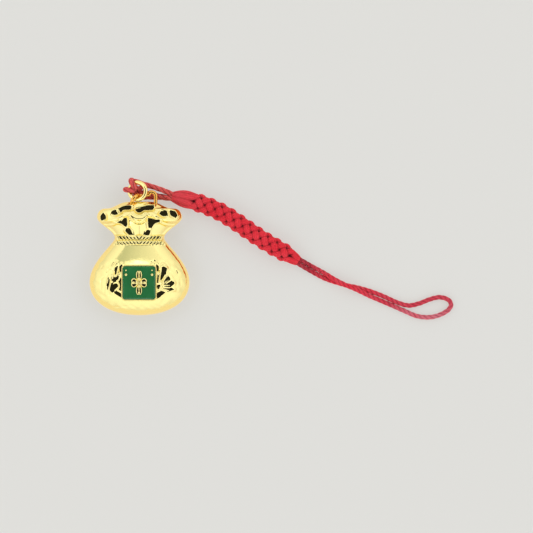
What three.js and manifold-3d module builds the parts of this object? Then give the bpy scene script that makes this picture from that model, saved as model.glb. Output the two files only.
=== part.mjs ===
import * as THREE from "three";
import { mergeVertices } from "three/addons/utils/BufferGeometryUtils.js";
import Module from "manifold-3d";

// A hollow gold money-bag charm on a braided strap, lying face up.
// Millimetres. X runs to the right across the bag, Y up to its mouth, Z up off the table.
// The origin is the middle of the flat on the bag's back, level with the widest part of the belly.

// Outline of the bag, seen from the front; rises are measured from the belly's widest line
const bellyHalfWidth = 12.5;
const bottomDrop = 8.3;
const neckHalfWidth = 6.2;
const neckRise = 11;
const lobeHalfWidth = 10.6;
const lobeRise = 16.2;
const shoulderHalfWidth = 8.7;
const shoulderRise = 18.4;
const crownHalfWidth = 2.5;
const crownRise = 20.1;

// Thickness of the bag in front of and behind the seam between its halves
const seamHeight = 4.2;
const backFlatCut = 0.4;
const lobeFlatCut = 0.1;
const bellyFront = 5.3;
const neckFront = 3;
const neckBack = 2.2;
const lobeFront = 3.6;
const shoulderFront = 3;
const shoulderBack = 3.2;
const crownFront = 1.5;
const crownBack = 1.5;
const wall = 0.7;
const reliefRoom = 0.8;

// Relief on the front: two cords tied round the neck, the mouth's rolled lip and its hem, and a gathered
// V-shaped panel under them with a crease down its middle
const neckCordRadius = 0.6;
const neckCordRise = 0.15;
const neckCordSpacing = 1.28;
const neckCordStand = 0.45;
const lipCrestSide = 2.7;
const lipCrestRise = 17.2;
const lipDipRise = 15.75;
const lipCornerRise = 15.2;
const lipInnerWidth = 1.25;
const lipOuterWidth = 2.5;
const lipRollWidth = 0.55;
const lipRollStand = 0.4;
const hemDrop = 1.05;
const hemWidth = 0.32;
const hemStand = 0.3;
const panelFootRise = 11.6;
const panelHeadRise = 15.2;
const panelFootSide = 1.7;
const panelHeadSide = 2.9;
const panelCrease = 0.45;
const panelEdge = 0.45;
const panelFall = 1.2;
const panelLean = 0.12;

// Hollows pressed into the mouth's gathers and between the pleats: each has a level floor, and a wall that
// slopes up to what lies round it. A row is the floor's height as a share of the lobe's, then the corners in
// order round the hollow, as shares of the lobe's half width and of the rise from neck to crown.
const hollowWall = 0.45;
const hollowRows = [
  [0.66, [-0.48, 0.8], [-0.4, 0.87], [-0.29, 0.9], [-0.2, 0.89], [-0.19, 0.79], [-0.37, 0.77]],
  [0.66, [-0.48, 0.8], [-0.37, 0.81], [-0.39, 0.75], [-0.42, 0.7], [-0.45, 0.7]],
  [0.7, [-0.63, 0.64], [-0.64, 0.72], [-0.55, 0.75], [-0.5, 0.66], [-0.55, 0.63]],
  [0.49, [-0.92, 0.6], [-0.86, 0.68], [-0.79, 0.62], [-0.79, 0.52], [-0.9, 0.49]],
  [0.67, [0.08, 0.84], [0.18, 0.9], [0.35, 0.9], [0.33, 0.78], [0.15, 0.76], [0.08, 0.78]],
  [0.67, [-0.1, 0.78], [0.04, 0.83], [0.15, 0.82], [0.1, 0.75], [0.02, 0.69], [-0.06, 0.71]],
  [0.69, [0.47, 0.66], [0.51, 0.74], [0.69, 0.72], [0.7, 0.63], [0.56, 0.59]],
  [0.54, [0.71, 0.74], [0.84, 0.74], [0.9, 0.62], [0.86, 0.57], [0.74, 0.61]],
  [0.91, [-0.37, 0.54], [-0.29, 0.56], [-0.28, 0.35], [-0.33, 0.32], [-0.4, 0.4], [-0.4, 0.47]],
  [0.91, [-0.51, 0.43], [-0.4, 0.47], [-0.39, 0.39]],
  [0.85, [-0.33, 0.2], [-0.28, 0.27], [-0.21, 0.27], [-0.18, 0.19], [-0.14, 0.09], [-0.25, 0.1]],
  [0.91, [0.2, 0.55], [0.26, 0.55], [0.34, 0.52], [0.32, 0.37], [0.25, 0.23], [0.22, 0.27]],
  [0.91, [0.28, 0.52], [0.34, 0.52], [0.48, 0.48], [0.48, 0.45], [0.35, 0.41]],
  [0.85, [0.18, 0.22], [0.24, 0.22], [0.24, 0.1], [0.19, 0.07], [0.12, 0.1]],
];

// Enamelled plaque on the belly
const plaqueWidth = 8.8;
const plaqueHeight = 8.9;
const plaqueRise = -0.15;
const plaqueCorner = 1;
const plaqueSeatGap = 0.1;
const plaqueRim = 0.3;
const plaqueFloor = 0.25;
const enamelGap = 0.1;
const enamelThickness = 0.3;
const enamelRecess = 0.1;
const motifHalfWidth = 2.1;
const motifHalfHeight = 3.2;
const motifThickness = 0.3;

// Wire staple on the mouth, and the split ring that hangs in it
const bailRadius = 0.45;
const bailHoleGap = 0.15;
const bailRingGap = 0.15;
const bailSink = 1.3;
const bailFootDepth = 0.65;
const bailLeftSide = 1.9;
const bailRightSide = 4.05;
const bailArchRise = 2.4;
const bailArchRadius = 1;
const bailLift = 0.7;
const ringMeanRadius = 2.1;
const ringWireRadius = 0.5;
const ringTilt = 18;
const ringSplit = 4;
const ringSplitPlace = 262;
const ringSide = -0.45;
const ringCrownGap = 0.05;
const ringAboveSeam = 1.9;

// Blank folded slip inside
const slipWidth = 6;
const slipLength = 5.6;
const slipPaper = 0.35;
const slipFoldGap = 0.2;
const slipGap = 0.3;

// Cords; the braid's reach to the right and its fall down the table are between its two ends
const cordRestGap = 0.03;
const hitchRadius = 0.5;
const hitchWrapGap = 0.1;
const upperHitchPlace = 120;
const lowerHitchPlace = 180;
const braidRadius = 2.35;
const braidStartRadius = 1.4;
const braidEndRadius = 1.2;
const braidTaper = 5.5;
const braidStartSide = 8.3;
const braidStartRise = 21.4;
const braidReach = 31.3;
const braidFall = 16.1;
const tailRadius = 0.55;

const wasm = await Module();
wasm.setup();

const radians = THREE.MathUtils.degToRad;
const step = THREE.MathUtils.smoothstep;
const bump = (distance, width) => Math.exp(-((distance / width) ** 2));

// A geometry whose shared corners are merged, with position alone.
function closed(geometry) {
  geometry.deleteAttribute("normal");
  geometry.deleteAttribute("uv");
  return mergeVertices(geometry, 1e-4);
}

function toSolid(geometry) {
  const merged = closed(geometry);
  return new wasm.Manifold(
    new wasm.Mesh({
      numProp: 3,
      vertProperties: Float32Array.from(merged.attributes.position.array),
      triVerts: Uint32Array.from(merged.index.array),
    }),
  );
}

function toGeometry(solid) {
  const mesh = solid.getMesh();
  const geometry = new THREE.BufferGeometry();
  geometry.setAttribute("position", new THREE.BufferAttribute(mesh.vertProperties, 3));
  geometry.setIndex(new THREE.BufferAttribute(mesh.triVerts, 1));
  return geometry;
}

// A geometry from a list of triangles, each three points; those that have shrunk to a line are left out.
function fromTriangles(triangles) {
  const real = triangles.filter(
    ([a, b, c]) => a.distanceTo(b) > 1e-4 && b.distanceTo(c) > 1e-4 && c.distanceTo(a) > 1e-4,
  );
  return new THREE.BufferGeometry().setFromPoints(real.flat());
}

// Two triangles for each square of a grid of points, given as rows.
function gridTriangles(rows) {
  const triangles = [];
  for (let i = 0; i + 1 < rows.length; i += 1) {
    for (let j = 0; j + 1 < rows[i].length; j += 1) {
      const [a, b, c, d] = [rows[i][j], rows[i][j + 1], rows[i + 1][j + 1], rows[i + 1][j]];
      triangles.push([a, b, c], [a, c, d]);
    }
  }
  return triangles;
}

// The stations up one side of the bag, set in by a wall. At an "across" station the outline runs
// sideways, and at an "along" station it runs up the bag. fill is how far each side's handle reaches.
function stations(inset, frontInset) {
  const setIn = (size, by) => (size > 0 ? Math.max(size - by, 0) : 0);
  const station = (turn, width, y, front, back, fill) => ({
    turn,
    width: setIn(width, inset),
    y,
    front: setIn(front, frontInset),
    back: setIn(back, inset),
    fill,
  });
  const bellyBack = seamHeight + backFlatCut;
  const lobeBack = seamHeight + lobeFlatCut;
  return [
    station("across", 0, inset - bottomDrop, 0, 0, [0, 0.6]),
    station("along", bellyHalfWidth, 0, bellyFront, bellyBack, [0.6, 0.46]),
    station("along", neckHalfWidth, neckRise, neckFront, neckBack, [0.12, 0.38]),
    station("along", lobeHalfWidth, lobeRise, lobeFront, lobeBack, [0.34, 0.55]),
    station("across", shoulderHalfWidth, shoulderRise - inset, shoulderFront, shoulderBack, [0.55, 0.44]),
    station("across", crownHalfWidth, crownRise - inset, crownFront, crownBack, [0.44, 0.33]),
    station("across", 0, crownRise - inset, 0, 0, [0.33, 0]),
  ];
}

const rowsPerSpan = [7, 12, 11, 5, 7, 1];

// One cubic span for each pair of stations, as rows of width, height up the bag and thickness.
function profileRows(inset, frontInset) {
  const list = stations(inset, frontInset);
  const sizes = ["width", "y", "front", "back"];
  const moves = { across: ["width", "front", "back"], along: ["y"] };
  const rows = [];
  rowsPerSpan.forEach((count, span) => {
    const [from, to] = [list[span], list[span + 1]];
    for (let i = span === 0 ? 0 : 1; i <= count; i += 1) {
      const t = i / count;
      const row = {};
      sizes.forEach((size) => {
        const reach = to[size] - from[size];
        const leave = from[size] + (moves[from.turn].includes(size) ? from.fill[1] * reach : 0);
        const arrive = to[size] - (moves[to.turn].includes(size) ? to.fill[0] * reach : 0);
        row[size] =
          (1 - t) ** 3 * from[size] +
          3 * (1 - t) ** 2 * t * leave +
          3 * (1 - t) * t ** 2 * arrive +
          t ** 3 * to[size];
      });
      rows.push(row);
    }
  });
  return rows;
}

// The mouth's front lip: two crests with a dip between them, falling off to the lobes.
function lipLine(x) {
  const off = Math.abs(x) - lipCrestSide;
  const [foot, width] = off < 0 ? [lipDipRise, lipInnerWidth] : [lipCornerRise, lipOuterWidth];
  return foot + (lipCrestRise - foot) * bump(off, width);
}

// How far the front stands proud of its plain rounded form at a place on the bag, without the hollows.
function relief(x, y) {
  let height = 0;
  for (const row of [0, 1]) {
    const off = (y - neckRise - neckCordRise + row * neckCordSpacing) / neckCordRadius;
    height += neckCordStand * Math.sqrt(Math.max(0, 1 - off * off));
  }
  const aboveLip = y - lipLine(x);
  height += lipRollStand * bump(aboveLip, lipRollWidth);
  height += hemStand * bump(aboveLip + hemDrop, hemWidth);
  const upPanel = (y - panelFootRise) / (panelHeadRise - panelFootRise);
  const edge = THREE.MathUtils.lerp(panelFootSide, panelHeadSide, THREE.MathUtils.clamp(upPanel, 0, 1.3));
  const beyond = Math.abs(x) - edge;
  const inside = panelEdge + ((panelEdge + panelCrease) * beyond) / edge;
  const outside = panelEdge * Math.exp(-beyond / panelFall) - panelLean * beyond;
  const tieTop = neckRise + neckCordRise + neckCordRadius;
  const aboveTie = step(y, tieTop, tieTop + neckCordRadius);
  const belowLip = 1 - step(aboveLip, -2 * lipRollWidth, 0);
  height += aboveTie * belowLip * (beyond < 0 ? inside : outside);
  return height;
}

const hollows = hollowRows.map(([level, ...corners]) => ({
  floor: level * lobeFront,
  places: corners.map(
    ([across, up]) => new THREE.Vector2(across * lobeHalfWidth, neckRise + up * (crownRise - neckRise)),
  ),
}));

// Distance from a hollow to the farthest of its sides, below zero inside it.
function outsideHollow(places, x, y) {
  const turn = Math.sign(THREE.ShapeUtils.area(places));
  const distances = places.map((place, i) => {
    const along = places[(i + 1) % places.length].clone().sub(place).normalize();
    return turn * ((x - place.x) * along.y - (y - place.y) * along.x);
  });
  return Math.max(...distances);
}

// The front's height over the seam after carving, from its plain height; fade is 0 at the seam.
function carvedHeight(x, y, plain, fade) {
  let height = plain + fade * relief(x, y);
  for (const { floor, places } of hollows) {
    const share = 1 - THREE.MathUtils.clamp(outsideHollow(places, x, y) / hollowWall, 0, 1);
    height += share * (floor - height);
  }
  return height;
}

// Half of the bag as a filled solid, on the seam plane: a rounded section at each row of the profile.
function halfSolid({ side, inset = 0, frontInset = inset, columns, carved = false, skirt = 0 }) {
  const up = side === "front" ? 1 : -1;
  const base = seamHeight - up * skirt;
  const lowest = inset;
  const surface = [];
  const floor = [];
  for (const row of profileRows(inset, frontInset)) {
    const points = [];
    for (let j = 0; j <= columns; j += 1) {
      const angle = (j / columns - 0.5) * Math.PI;
      const swell = Math.cos(angle);
      const x = row.width * Math.sin(angle);
      const plain = row[side] * swell;
      const fade = step(swell, 0.2, 0.6) * Math.min(1, row.width);
      const z = seamHeight + up * (carved ? carvedHeight(x, row.y, plain, fade) : plain);
      points.push(new THREE.Vector3(x, row.y, Math.max(z, lowest)));
    }
    [points[0].z, points[columns].z] = [seamHeight, seamHeight];
    const ends = [points[0], points[columns]].map((p) => new THREE.Vector3(p.x, p.y, base));
    surface.push(skirt > 0 ? [ends[0], ...points, ends[1]] : points);
    floor.push(ends);
  }
  const triangles = [...gridTriangles(surface), ...gridTriangles(floor).map(([a, b, c]) => [a, c, b])];
  return toSolid(fromTriangles(up > 0 ? triangles : triangles.map(([a, b, c]) => [a, c, b])));
}

const round = (radius, sides) =>
  new THREE.Shape(
    Array.from({ length: sides }, (_, i) => {
      const angle = (2 * Math.PI * i) / sides;
      return new THREE.Vector2(radius * Math.cos(angle), radius * Math.sin(angle));
    }),
  );

const tube = (path, radius, sides, steps) =>
  new THREE.ExtrudeGeometry(round(radius, sides), { extrudePath: path, steps });

const routeOf = (points) =>
  new THREE.CatmullRomCurve3(points.map((p) => new THREE.Vector3(...p)), false, "centripetal");

function roundedRectangle(width, height, corner) {
  const shape = new THREE.Shape();
  const [x, y] = [width / 2 - corner, height / 2 - corner];
  shape.absarc(x, -y, corner, -Math.PI / 2, 0);
  shape.absarc(x, y, corner, 0, Math.PI / 2);
  shape.absarc(-x, y, corner, Math.PI / 2, Math.PI);
  shape.absarc(-x, -y, corner, Math.PI, 1.5 * Math.PI);
  return shape;
}

const slab = (shape, depth, curveSegments = 4) =>
  new THREE.ExtrudeGeometry(shape, { depth, bevelEnabled: false, curveSegments });

const gold = { color: 0xf0cf62, roughness: 0.12, metalness: 1 };
const red = { color: 0xc92a3c, roughness: 0.8, metalness: 0 };
const charm = new THREE.Group();

function addMesh(name, geometry, finish) {
  const mesh = new THREE.Mesh(geometry, new THREE.MeshStandardMaterial(finish));
  mesh.name = name;
  charm.add(mesh);
  return mesh;
}

// The split ring's middle, and a point beside its wire: round from the right, outward and above its plane
const ringRise = crownRise + ringCrownGap + ringWireRadius + ringMeanRadius;
const ringCentre = new THREE.Vector3(ringSide, ringRise, seamHeight + ringAboveSeam);
const ringPlane = new THREE.Euler(0, -radians(ringTilt), 0);
function besideRing(place, outward, above) {
  const reach = ringMeanRadius + outward;
  const angle = radians(place);
  const offset = new THREE.Vector3(reach * Math.cos(angle), reach * Math.sin(angle), above);
  return offset.applyEuler(ringPlane).add(ringCentre).toArray();
}

// Wire staple: both feet sink into the front half's crown, and between them the wire passes over
// the ring's left side, down through the ring and under its right side
const bailClear = ringWireRadius + bailRadius + bailRingGap;
const bailFoot = (x, rise, up) => [x, crownRise + rise, seamHeight + crownFront - bailFootDepth + up];
const bailArch = (turn) =>
  bailFoot(
    bailRightSide - bailArchRadius * (1 - Math.cos(radians(turn))),
    bailArchRise - bailArchRadius * (1 - Math.sin(radians(turn))),
    0,
  );
const bailRoute = routeOf([
  bailFoot(-bailLeftSide, -bailSink, 0),
  bailFoot(-bailLeftSide, -bailRadius, bailLift),
  besideRing(241, 0.3, 0.95 * bailClear),
  besideRing(246, -0.6, bailClear),
  besideRing(277, -1.3, 0.45 * bailClear),
  besideRing(322, -1.2, -0.5 * bailClear),
  besideRing(343, -0.5, -1.25 * bailClear),
  besideRing(349, 0.4, -1.75 * bailClear),
  ...[120, 90, 45, 0].map(bailArch),
  bailFoot(bailRightSide, 0, 0),
  bailFoot(bailRightSide, -bailSink, 0),
]);
addMesh("bail", closed(tube(bailRoute, bailRadius, 10, 26)), gold);

// Front and back halves of the bag
const frontShell = halfSolid({ side: "front", columns: 60, carved: true })
  .subtract(halfSolid({ side: "front", inset: wall, frontInset: wall + reliefRoom, columns: 14, skirt: 1 }))
  .subtract(toSolid(tube(bailRoute, bailRadius + bailHoleGap, 10, 26)));
addMesh("front_shell", toGeometry(frontShell), gold);
const backShell = halfSolid({ side: "back", columns: 24 }).subtract(
  halfSolid({ side: "back", inset: wall, columns: 14, skirt: 1 }),
);
addMesh("back_shell", toGeometry(backShell), gold);

// Plaque: a tray whose foot follows the belly, its enamel, and a four-petalled flower on it
const pocketFloor = seamHeight + bellyFront + plaqueSeatGap + plaqueFloor;
const plaqueTop = pocketFloor + enamelThickness + enamelRecess;
const trayBlock = slab(roundedRectangle(plaqueWidth, plaqueHeight, plaqueCorner), plaqueTop - seamHeight);
trayBlock.translate(0, plaqueRise, seamHeight);
const pocket = slab(
  roundedRectangle(plaqueWidth - 2 * plaqueRim, plaqueHeight - 2 * plaqueRim, plaqueCorner - plaqueRim),
  plaqueTop,
);
pocket.translate(0, plaqueRise, pocketFloor);
const tray = toSolid(trayBlock)
  .subtract(toSolid(pocket))
  .subtract(halfSolid({ side: "front", inset: -plaqueSeatGap, columns: 34, skirt: 1 }));
addMesh("plaque_tray", toGeometry(tray), gold);
const enamelInset = 2 * (plaqueRim + enamelGap);
const enamel = slab(
  roundedRectangle(
    plaqueWidth - enamelInset,
    plaqueHeight - enamelInset,
    plaqueCorner - plaqueRim - enamelGap,
  ),
  enamelThickness,
);
const enamelMesh = addMesh("enamel_panel", closed(enamel), { color: 0x1f7a42, roughness: 0.2, metalness: 0 });
enamelMesh.position.set(0, plaqueRise, pocketFloor);

const petals = 4;
const petalPoints = 40;
const motif = new THREE.Shape(
  Array.from({ length: petalPoints }, (_, i) => {
    const angle = (2 * Math.PI * i) / petalPoints;
    const reach = 0.45 + 0.55 * Math.abs(Math.cos((petals / 2) * angle));
    return new THREE.Vector2(
      motifHalfWidth * reach * Math.cos(angle),
      motifHalfHeight * reach * Math.sin(angle),
    );
  }),
);
const motifMesh = addMesh("plaque_motif", closed(slab(motif, motifThickness)), gold);
motifMesh.position.set(0, plaqueRise, pocketFloor + enamelThickness);

// Split ring through the staple, tipped so that its right side is high
class RingArc extends THREE.Curve {
  getPoint(t) {
    const angle = radians(ringSplitPlace + ringSplit / 2 + t * (360 - ringSplit));
    return new THREE.Vector3(ringMeanRadius * Math.cos(angle), ringMeanRadius * Math.sin(angle), 0);
  }
}
const ring = addMesh("jump_ring", closed(tube(new RingArc(), ringWireRadius, 10, 32)), gold);
ring.position.copy(ringCentre);
ring.rotation.copy(ringPlane);

// Folded slip: three leaves of paper, one on another, open at two folds
const leafRise = slipPaper + slipFoldGap;
const slipEdge = slipWidth / 2;
const slipFold = slipEdge - slipPaper;
const slipProfile = new THREE.Shape(
  [
    [-slipEdge, 0],
    [slipEdge, 0],
    [slipEdge, leafRise + slipPaper],
    [-slipFold, leafRise + slipPaper],
    [-slipFold, 2 * leafRise],
    [slipEdge, 2 * leafRise],
    [slipEdge, 2 * leafRise + slipPaper],
    [-slipEdge, 2 * leafRise + slipPaper],
    [-slipEdge, leafRise],
    [slipFold, leafRise],
    [slipFold, slipPaper],
    [-slipEdge, slipPaper],
  ].map(([x, y]) => new THREE.Vector2(x, y)),
);
const slip = addMesh("prayer_slip", closed(slab(slipProfile, slipLength)), {
  color: 0xf3efe2,
  roughness: 0.9,
  metalness: 0,
});
slip.rotation.x = Math.PI / 2;
slip.position.set(0, slipLength / 2, wall + slipGap);

// A cord's turn round the ring's wire, from under it, round its outside and over it into the ring
function wrapPoints(place) {
  const reach = ringWireRadius + hitchRadius + hitchWrapGap;
  return [-45, 0, 45, 90, 135, 180].map((turn) =>
    besideRing(place, reach * Math.cos(radians(turn)), reach * Math.sin(radians(turn))),
  );
}

const upperHitch = routeOf([
  [8.1, 22.1, 2.6],
  [6.4, 22.75, 3],
  [3.9, 23.7, 3.6],
  [1.4, 24.65, 4.1],
  [-0.1, 25.25, 4.4],
  ...wrapPoints(upperHitchPlace),
  [-0.8, 23.5, 5.05],
  [-0.3, 23.4, 4.2],
  [0.9, 23.6, 3.3],
  [2.4, 23.8, 2.45],
  [4.2, 23.45, 1.8],
  [6.4, 22.65, 1.65],
  [8.12, 21.97, 1.4],
]);
const lowerHitch = routeOf([
  [7.95, 20.95, 2.75],
  [6.4, 21.25, 2.7],
  [4.6, 21.55, 2.5],
  [2, 22.1, 2.5],
  [0, 22.4, 2.8],
  [-1.7, 22.7, 3.4],
  ...wrapPoints(lowerHitchPlace),
  [-1.25, 22.5, 5],
  [-0.9, 21.75, 4],
  [-0.1, 21.4, 2.6],
  [1.4, 21.4, 1.6],
  [4.5, 21.4, 1.3],
  [7.95, 20.85, 1.45],
]);
addMesh("hitch_loop_upper", closed(tube(upperHitch, hitchRadius, 8, 34)), red);
addMesh("hitch_loop_lower", closed(tube(lowerHitch, hitchRadius, 8, 34)), red);

// Round braid, thinner at both ends, lying on the table: shares of its reach and fall, and dips of its ends
const braidLine = [
  [0, 0, 0.4],
  [0.071, 0.027, 0.15],
  [0.152, 0.065, 0.05],
  [0.25, 0.13, 0],
  [0.349, 0.209, 0],
  [0.446, 0.314, 0],
  [0.541, 0.437, 0],
  [0.636, 0.565, 0],
  [0.73, 0.686, 0],
  [0.826, 0.798, 0],
  [0.92, 0.903, 0.25],
  [1, 1, 0.8],
];
const braidRoute = routeOf(
  braidLine.map(([along, down, dip]) => [
    braidStartSide + along * braidReach,
    braidStartRise - down * braidFall,
    braidRadius + cordRestGap - dip,
  ]),
);
const swollen = (radius, along) =>
  radius + (braidRadius - radius) * Math.sin((Math.PI / 2) * Math.min(1, along / braidTaper));
function taperedTube(route, sides, steps) {
  const frames = route.computeFrenetFrames(steps);
  const length = route.getLength();
  const rows = Array.from({ length: steps + 1 }, (_, i) => {
    const along = (i / steps) * length;
    const radius = Math.min(swollen(braidStartRadius, along), swollen(braidEndRadius, length - along));
    const centre = route.getPointAt(i / steps);
    return Array.from({ length: sides + 1 }, (_unused, j) => {
      const angle = (2 * Math.PI * (j % sides)) / sides;
      return centre
        .clone()
        .addScaledVector(frames.normals[i], radius * Math.cos(angle))
        .addScaledVector(frames.binormals[i], radius * Math.sin(angle));
    });
  });
  const first = rows[0].map(() => route.getPointAt(0));
  const last = rows[0].map(() => route.getPointAt(1));
  return fromTriangles(gridTriangles([first, ...rows, last]));
}
addMesh("braid", closed(taperedTube(braidRoute, 12, 18)), red);

// Thin cord, doubled: out along one side, round the hanging loop, back along the other.
// Its points are offsets from the braid's end, with the lift off the table.
const tailLine = [
  [0.37, 0.44, 0.95],
  [3.4, -1.3, 0.2],
  [6.35, -2.9, 0.15],
  [7.5, -3.58, 0.62],
  [8.72, -4.34, 0.95],
  [10.54, -5.34, 1.12],
  [12.45, -6.24, 1.16],
  [14.41, -7.06, 1.06],
  [16, -7.82, 0.82],
  [17.58, -8.59, 0.3],
  [21.01, -10.05, 0],
  [23.98, -11.32, 0],
  [27, -12.66, 0],
  [29.9, -13.83, 0],
  [33.1, -14.11, 0],
  [36, -13.33, 0],
  [37.93, -12.02, 0],
  [38.39, -10.83, 0],
  [37.72, -9.77, 0],
  [35.6, -9.11, 0],
  [33.06, -9.64, 0],
  [30.53, -10.62, 0],
  [27.8, -11.17, 0],
  [24.8, -10.38, 0],
  [21.5, -8.89, 0],
  [18.03, -7.57, 0],
  [14.66, -6.62, 0],
  [12.23, -6.14, 0],
  [10.27, -5.56, 0],
  [8.31, -4.97, 0],
  [6.35, -4.2, 0],
  [3.4, -2.62, 0.2],
  [-0.1, -0.58, 0.95],
];
const tailRoute = routeOf(
  tailLine.map(([side, rise, lift]) => [
    braidStartSide + braidReach + side,
    braidStartRise - braidFall + rise,
    tailRadius + cordRestGap + lift,
  ]),
);
addMesh("tail_cord", closed(tube(tailRoute, tailRadius, 8, 54)), red);

export default charm;
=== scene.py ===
import math

import bmesh
import bpy
import numpy as np
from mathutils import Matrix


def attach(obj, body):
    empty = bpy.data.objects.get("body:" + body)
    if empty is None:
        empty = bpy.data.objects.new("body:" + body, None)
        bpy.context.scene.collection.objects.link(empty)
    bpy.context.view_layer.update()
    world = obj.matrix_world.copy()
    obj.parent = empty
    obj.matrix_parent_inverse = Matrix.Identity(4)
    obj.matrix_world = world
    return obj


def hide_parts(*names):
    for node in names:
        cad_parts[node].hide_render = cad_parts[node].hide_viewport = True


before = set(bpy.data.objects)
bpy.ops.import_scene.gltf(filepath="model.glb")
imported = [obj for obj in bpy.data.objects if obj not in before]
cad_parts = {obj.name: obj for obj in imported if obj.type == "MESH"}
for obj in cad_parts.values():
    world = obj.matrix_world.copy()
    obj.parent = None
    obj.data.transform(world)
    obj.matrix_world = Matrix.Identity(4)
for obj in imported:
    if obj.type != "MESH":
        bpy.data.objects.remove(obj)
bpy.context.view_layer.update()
mm = 0.001  # sizes below are in millimetres, Blender's are in metres
scene = bpy.context.scene


# Camera: straight above the table, framed as the photograph is

cameraSetup = {"over": (31.75, 3.9), "height": 1504.2, "plane": 4.2, "fieldWidth": 133.25, "sensor": 36}


def addCamera(setup):
    data = bpy.data.cameras.new("overheadCamera")
    data.sensor_width = setup["sensor"]
    data.lens = setup["sensor"] * (setup["height"] - setup["plane"]) / setup["fieldWidth"]
    camera = bpy.data.objects.new("overheadCamera", data)
    camera.location = (setup["over"][0] * mm, setup["over"][1] * mm, setup["height"] * mm)
    scene.collection.objects.link(camera)
    scene.camera = camera


addCamera(cameraSetup)
print("camera set")


# Shapes: small functions that work on whole arrays


def ease(value, low, high):
    # 0 below low and 1 above high, with a smooth S between
    t = np.clip((value - low) / (high - low), 0, 1)
    return t * t * (3 - 2 * t)


def hump(distance, width):
    # a bell, 1 in the middle
    return np.exp(-((distance / width) ** 2))


def unit(vectors):
    return vectors / np.linalg.norm(vectors, axis=-1, keepdims=True)


def evenTurns(count):
    # even angles, once round
    return 2 * np.pi * np.arange(count) / count


def segmentDistance(x, y, a, b):
    # distance in the plane from each point to the straight line between a and b
    ax, ay = a
    bx, by = b
    share = np.clip(((x - ax) * (bx - ax) + (y - ay) * (by - ay)) / ((bx - ax) ** 2 + (by - ay) ** 2), 0, 1)
    return np.hypot(x - ax - share * (bx - ax), y - ay - share * (by - ay))


def gridQuads(rows, columns, around=False, start=0):
    # squares of a grid numbered row by row; around joins the last column to the first
    i, j = np.meshgrid(np.arange(rows - 1), np.arange(columns if around else columns - 1), indexing="ij")
    k = (j + 1) % columns
    corners = np.stack([i * columns + j, i * columns + k, (i + 1) * columns + k, (i + 1) * columns + j], -1)
    return corners.reshape(-1, 4) + start


def fan(pole, edge, around=False):
    # triangles from one point to each step of an edge
    following = np.roll(edge, -1) if around else edge[1:]
    first = edge if around else edge[:-1]
    return np.stack([np.full(len(first), pole), first, following], -1)


def addPiece(name, points, faces, material, body, nodes=(), uv=None, marks=None):
    # points are in millimetres, faces are one index array for each number of corners; uv is given per corner
    # and marks per point
    mesh = bpy.data.meshes.new(name)
    corners = np.concatenate([part.ravel() for part in faces]).astype(np.int32)
    sizes = np.concatenate([np.full(len(part), part.shape[1]) for part in faces])
    starts = np.concatenate([[0], np.cumsum(sizes)[:-1]]).astype(np.int32)
    mesh.vertices.add(len(points))
    mesh.vertices.foreach_set("co", (points * mm).astype(np.float32).ravel())
    mesh.loops.add(len(corners))
    mesh.loops.foreach_set("vertex_index", corners)
    mesh.polygons.add(len(sizes))
    mesh.polygons.foreach_set("loop_start", starts)
    mesh.update(calc_edges=True)
    if uv is not None:
        mesh.uv_layers.new(name="lay").data.foreach_set("uv", uv.astype(np.float32).ravel())
    for mark, values in (marks or {}).items():
        mesh.attributes.new(mark, "FLOAT", "POINT").data.foreach_set("value", values.astype(np.float32))
    mesh.validate()
    work = bmesh.new()
    work.from_mesh(mesh)
    bmesh.ops.recalc_face_normals(work, faces=work.faces)
    work.to_mesh(mesh)
    work.free()
    mesh.shade_smooth()
    mesh.materials.append(material)
    piece = bpy.data.objects.new(name, mesh)
    scene.collection.objects.link(piece)
    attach(piece, body)
    if nodes:
        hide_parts(*nodes)
    return piece


# Routes: the middle lines of the cords and wires


def smoothRoute(points, step):
    # a centripetal curve through the points, cut into even steps along its length
    p = np.array(points, float)
    p = np.vstack([2 * p[0] - p[1], p, 2 * p[-1] - p[-2]])
    knots = np.sqrt(np.linalg.norm(np.diff(p, axis=0), axis=1))[:, None]
    p0, p1, p2, p3 = p[:-3], p[1:-2], p[2:-1], p[3:]
    k0, k1, k2 = knots[:-2], knots[1:-1], knots[2:]
    leave = ((p1 - p0) / k0 - (p2 - p0) / (k0 + k1) + (p2 - p1) / k1) * k1
    arrive = ((p2 - p1) / k1 - (p3 - p1) / (k1 + k2) + (p3 - p2) / k2) * k1
    fineSteps = 80  # between two of the points
    t = np.linspace(0, 1, fineSteps, endpoint=False)[None, :, None]
    curve = (2 * t**3 - 3 * t**2 + 1) * p1[:, None] + (t**3 - 2 * t**2 + t) * leave[:, None]
    curve = curve + (3 * t**2 - 2 * t**3) * p2[:, None] + (t**3 - t**2) * arrive[:, None]
    curve = np.vstack([curve.reshape(-1, 3), p[-2]])
    run = np.concatenate([[0], np.cumsum(np.linalg.norm(np.diff(curve, axis=0), axis=1))])
    even = np.linspace(0, run[-1], int(round(run[-1] / step)) + 1)
    return np.stack([np.interp(even, run, curve[:, k]) for k in range(3)], -1), even


def carriedFrame(route, wideAt=None, wide=None):
    # two directions square to the route, carried along it without twist; wide fixes the first at one station
    tangent = unit(np.gradient(route, axis=0))
    first = np.zeros_like(route)
    upright = abs(tangent[0][2]) >= 0.9
    carried = np.array((1.0, 0, 0)) if upright else np.cross(tangent[0], (0, 0, 1))
    for i, t in enumerate(tangent):
        carried = carried - carried.dot(t) * t
        carried = carried / np.linalg.norm(carried)
        first[i] = carried
    second = np.cross(tangent, first)
    if wide is not None:
        angle = math.atan2(second[wideAt].dot(wide), first[wideAt].dot(wide))
        c, s = math.cos(angle), math.sin(angle)
        first, second = c * first + s * second, c * second - s * first
    return first, second


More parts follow.
